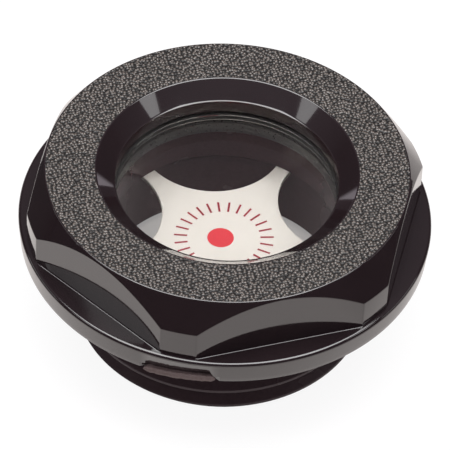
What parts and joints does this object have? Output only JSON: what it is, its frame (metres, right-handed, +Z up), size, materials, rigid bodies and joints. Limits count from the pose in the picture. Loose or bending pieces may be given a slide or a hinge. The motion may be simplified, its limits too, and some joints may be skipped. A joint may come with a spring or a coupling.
{
  "type": "oil level sight glass",
  "caption": "Hexagon-headed oil level sight glass with a pipe-threaded spigot, a clear window over a white star-shaped contrast screen, and a flat seal under its flange.",
  "frame": {"origin": "middle of the thread's open end, on which the part stands", "axes": "+Z up the thread's axis and out through the window; -Y faces one spanner flat of the hexagon"},
  "size_m": [0.0464, 0.0464, 0.0216],
  "materials": {
    "body": "polished black glass-fibre polyamide, with a fine grain on the top ring",
    "window": "clear, polished on both faces",
    "seal": "matte black nitrile rubber",
    "retaining_ring": "satin black polyamide",
    "contrast_screen": "warm white lacquer on sheet metal, with a printed red dot and ticks"
  },
  "bodies": {
    "root": {"body": "body", "window": "window", "window_seal": "seal", "retaining_ring": "retaining_ring", "contrast_screen": "contrast_screen", "packing_ring": "seal"}
  },
  "joints": []
}
